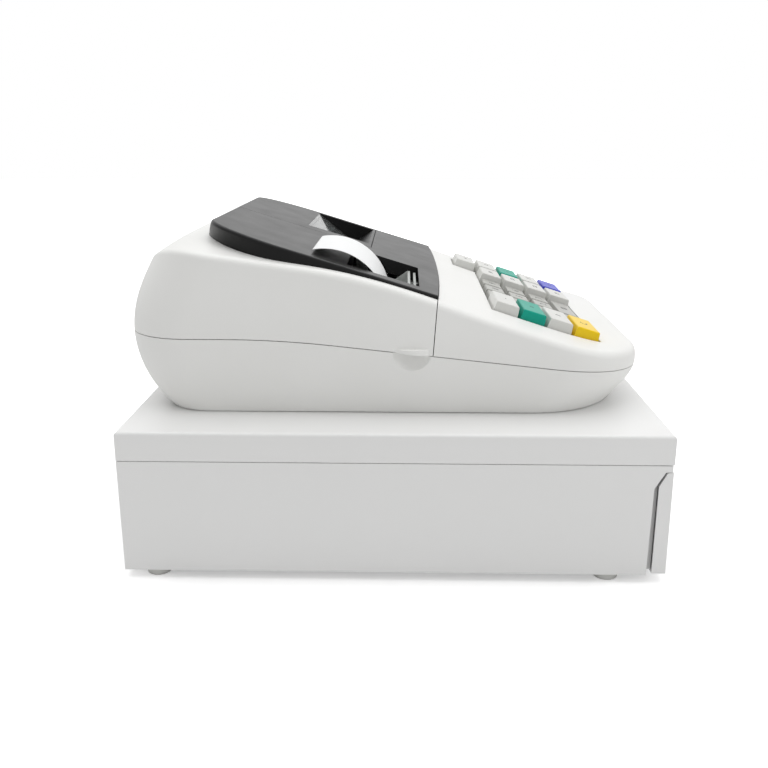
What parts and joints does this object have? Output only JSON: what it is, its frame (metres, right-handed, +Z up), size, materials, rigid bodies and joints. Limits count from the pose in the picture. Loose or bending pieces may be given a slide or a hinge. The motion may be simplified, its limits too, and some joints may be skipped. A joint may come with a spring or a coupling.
{
  "type": "cash register",
  "caption": "Compact cash register: square steel drawer case, rounded plastic body with sloping colour-keyed keyboard, dark display cover and a curled receipt in the printer slot.",
  "frame": {"origin": "on the counter, in the middle of the footprint", "axes": "+X to the operator's right, -Y towards the operator, +Z up"},
  "size_m": [0.33, 0.3347, 0.211],
  "materials": {
    "white_steel": "light textured powder coat",
    "white_plastic": "fine moulded grain",
    "dark_plastic": "satin dark grey",
    "smoke_window": "clear display pane",
    "display": "dark module",
    "key_white": "satin",
    "key_grey": "satin",
    "key_green": "satin",
    "key_yellow": "satin",
    "key_blue": "satin",
    "black_plastic": "moulded",
    "foot_rubber": "pale rubber",
    "plated_steel": "zinc plated",
    "grey_plastic": "moulded",
    "black_rubber": "ground roller",
    "paper": "thermal paper",
    "board": "coated circuit board"
  },
  "bodies": {
    "base": {"drawer_case": "white_steel", "case_lid": "white_steel", "lid_screws": "plated_steel", "rubber_feet": "foot_rubber", "drawer_runners": "plated_steel", "lower_case": "white_plastic", "keyboard_housing": "white_plastic", "key_bed": "black_plastic", "display_cover_shell": "white_plastic", "display_cover_panel": "dark_plastic", "display_window": "smoke_window", "display_module": "display", "printer_frame": "black_plastic", "roll_spindle": "plated_steel", "paper_web": "paper", "paper_guide": "grey_plastic", "main_board": "board", "transformer": "plated_steel", "cord_gland": "black_plastic"},
    "drawer": {"drawer_tub": "plated_steel", "drawer_front": "white_steel", "coin_tray": "black_plastic"},
    "lock": {"lock_cylinder": "plated_steel"},
    "printer_cover": {"printer_cover_shell": "white_plastic", "printer_cover_panel": "dark_plastic", "receipt_paper": "paper"},
    "platen": {"platen_roller": "black_rubber"},
    "ink": {"ink_roller": "black_rubber"},
    "paper_roll": {"paper_roll": "paper"},
    "clip_1": {"note_clip_1": "plated_steel"},
    "clip_2": {"note_clip_2": "plated_steel"},
    "clip_3": {"note_clip_3": "plated_steel"},
    "clip_4": {"note_clip_4": "plated_steel"},
    "key_void": {"key_void": "key_white"},
    "key_multiply": {"key_multiply": "key_green"},
    "key_date": {"key_date": "key_white"},
    "key_clear": {"key_clear": "key_yellow"},
    "key_seven": {"key_seven": "key_grey"},
    "key_eight": {"key_eight": "key_grey"},
    "key_nine": {"key_nine": "key_grey"},
    "key_four": {"key_four": "key_grey"},
    "key_five": {"key_five": "key_grey"},
    "key_six": {"key_six": "key_grey"},
    "key_one": {"key_one": "key_grey"},
    "key_two": {"key_two": "key_grey"},
    "key_three": {"key_three": "key_grey"},
    "key_zero": {"key_zero": "key_grey"},
    "key_double_zero": {"key_double_zero": "key_grey"},
    "key_department_four": {"key_department_four": "key_white"},
    "key_department_three": {"key_department_three": "key_white"},
    "key_department_two": {"key_department_two": "key_white"},
    "key_department_one": {"key_department_one": "key_white"},
    "key_paper_feed": {"key_paper_feed": "key_white"},
    "key_percent": {"key_percent": "key_white"},
    "key_tax": {"key_tax": "key_green"},
    "key_subtotal": {"key_subtotal": "key_white"},
    "key_total": {"key_total": "key_blue"}
  },
  "joints": [
    {"name": "drawer_slide", "type": "slide", "parent": "base", "child": "drawer", "axis": [0, -1, 0], "range_m": [0, 0.23]},
    {"name": "lock_turn", "type": "hinge", "parent": "drawer", "child": "lock", "pos_m": [0, -0.163, 0.04], "axis": [0, 1, 0], "range_deg": [0, 90]},
    {"name": "cover_lift", "type": "slide", "parent": "base", "child": "printer_cover", "axis": [0, 0, 1], "range_m": [0, 0.09]},
    {"name": "platen_turn", "type": "hinge", "parent": "base", "child": "platen", "pos_m": [-0.068, 0.0115, 0.1445], "axis": [1, 0, 0], "continuous": true},
    {"name": "ink_turn", "type": "hinge", "parent": "base", "child": "ink", "pos_m": [-0.068, -0.006, 0.1557], "axis": [1, 0, 0], "continuous": true},
    {"name": "roll_turn", "type": "hinge", "parent": "base", "child": "paper_roll", "pos_m": [-0.068, 0.096, 0.131], "axis": [1, 0, 0], "continuous": true},
    {"name": "clip_1_lift", "type": "hinge", "parent": "drawer", "child": "clip_1", "pos_m": [-0.11123, 0.1136, 0.0502], "axis": [-1, 0, 0], "range_deg": [0, 70], "stiffness_Nm_per_rad": 0.02},
    {"name": "clip_2_lift", "type": "hinge", "parent": "drawer", "child": "clip_2", "pos_m": [-0.03708, 0.1136, 0.0502], "axis": [-1, 0, 0], "range_deg": [0, 70], "stiffness_Nm_per_rad": 0.02},
    {"name": "clip_3_lift", "type": "hinge", "parent": "drawer", "child": "clip_3", "pos_m": [0.03708, 0.1136, 0.0502], "axis": [-1, 0, 0], "range_deg": [0, 70], "stiffness_Nm_per_rad": 0.02},
    {"name": "clip_4_lift", "type": "hinge", "parent": "drawer", "child": "clip_4", "pos_m": [0.11123, 0.1136, 0.0502], "axis": [-1, 0, 0], "range_deg": [0, 70], "stiffness_Nm_per_rad": 0.02},
    {"name": "press_void", "type": "slide", "parent": "base", "child": "key_void", "axis": [0, 0.3004, -0.9538], "range_m": [0, 0.0035], "stiffness_N_per_m": 250},
    {"name": "press_multiply", "type": "slide", "parent": "base", "child": "key_multiply", "axis": [0, 0.3004, -0.9538], "range_m": [0, 0.0035], "stiffness_N_per_m": 250},
    {"name": "press_date", "type": "slide", "parent": "base", "child": "key_date", "axis": [0, 0.3004, -0.9538], "range_m": [0, 0.0035], "stiffness_N_per_m": 250},
    {"name": "press_clear", "type": "slide", "parent": "base", "child": "key_clear", "axis": [0, 0.3004, -0.9538], "range_m": [0, 0.0035], "stiffness_N_per_m": 250},
    {"name": "press_seven", "type": "slide", "parent": "base", "child": "key_seven", "axis": [0, 0.3004, -0.9538], "range_m": [0, 0.0035], "stiffness_N_per_m": 250},
    {"name": "press_eight", "type": "slide", "parent": "base", "child": "key_eight", "axis": [0, 0.3004, -0.9538], "range_m": [0, 0.0035], "stiffness_N_per_m": 250},
    {"name": "press_nine", "type": "slide", "parent": "base", "child": "key_nine", "axis": [0, 0.3004, -0.9538], "range_m": [0, 0.0035], "stiffness_N_per_m": 250},
    {"name": "press_four", "type": "slide", "parent": "base", "child": "key_four", "axis": [0, 0.3004, -0.9538], "range_m": [0, 0.0035], "stiffness_N_per_m": 250},
    {"name": "press_five", "type": "slide", "parent": "base", "child": "key_five", "axis": [0, 0.3004, -0.9538], "range_m": [0, 0.0035], "stiffness_N_per_m": 250},
    {"name": "press_six", "type": "slide", "parent": "base", "child": "key_six", "axis": [0, 0.3004, -0.9538], "range_m": [0, 0.0035], "stiffness_N_per_m": 250},
    {"name": "press_one", "type": "slide", "parent": "base", "child": "key_one", "axis": [0, 0.3004, -0.9538], "range_m": [0, 0.0035], "stiffness_N_per_m": 250},
    {"name": "press_two", "type": "slide", "parent": "base", "child": "key_two", "axis": [0, 0.3004, -0.9538], "range_m": [0, 0.0035], "stiffness_N_per_m": 250},
    {"name": "press_three", "type": "slide", "parent": "base", "child": "key_three", "axis": [0, 0.3004, -0.9538], "range_m": [0, 0.0035], "stiffness_N_per_m": 250},
    {"name": "press_zero", "type": "slide", "parent": "base", "child": "key_zero", "axis": [0, 0.3004, -0.9538], "range_m": [0, 0.0035], "stiffness_N_per_m": 250},
    {"name": "press_double_zero", "type": "slide", "parent": "base", "child": "key_double_zero", "axis": [0, 0.3004, -0.9538], "range_m": [0, 0.0035], "stiffness_N_per_m": 250},
    {"name": "press_department_four", "type": "slide", "parent": "base", "child": "key_department_four", "axis": [0, 0.3004, -0.9538], "range_m": [0, 0.0035], "stiffness_N_per_m": 250},
    {"name": "press_department_three", "type": "slide", "parent": "base", "child": "key_department_three", "axis": [0, 0.3004, -0.9538], "range_m": [0, 0.0035], "stiffness_N_per_m": 250},
    {"name": "press_department_two", "type": "slide", "parent": "base", "child": "key_department_two", "axis": [0, 0.3004, -0.9538], "range_m": [0, 0.0035], "stiffness_N_per_m": 250},
    {"name": "press_department_one", "type": "slide", "parent": "base", "child": "key_department_one", "axis": [0, 0.3004, -0.9538], "range_m": [0, 0.0035], "stiffness_N_per_m": 250},
    {"name": "press_paper_feed", "type": "slide", "parent": "base", "child": "key_paper_feed", "axis": [0, 0.3004, -0.9538], "range_m": [0, 0.0035], "stiffness_N_per_m": 250},
    {"name": "press_percent", "type": "slide", "parent": "base", "child": "key_percent", "axis": [0, 0.3004, -0.9538], "range_m": [0, 0.0035], "stiffness_N_per_m": 250},
    {"name": "press_tax", "type": "slide", "parent": "base", "child": "key_tax", "axis": [0, 0.3004, -0.9538], "range_m": [0, 0.0035], "stiffness_N_per_m": 250},
    {"name": "press_subtotal", "type": "slide", "parent": "base", "child": "key_subtotal", "axis": [0, 0.3004, -0.9538], "range_m": [0, 0.0035], "stiffness_N_per_m": 250},
    {"name": "press_total", "type": "slide", "parent": "base", "child": "key_total", "axis": [0, 0.3004, -0.9538], "range_m": [0, 0.0035], "stiffness_N_per_m": 250}
  ],
  "couplings": [
    {"joint": "roll_turn", "follows": "platen_turn", "ratio": 0.2787}
  ]
}
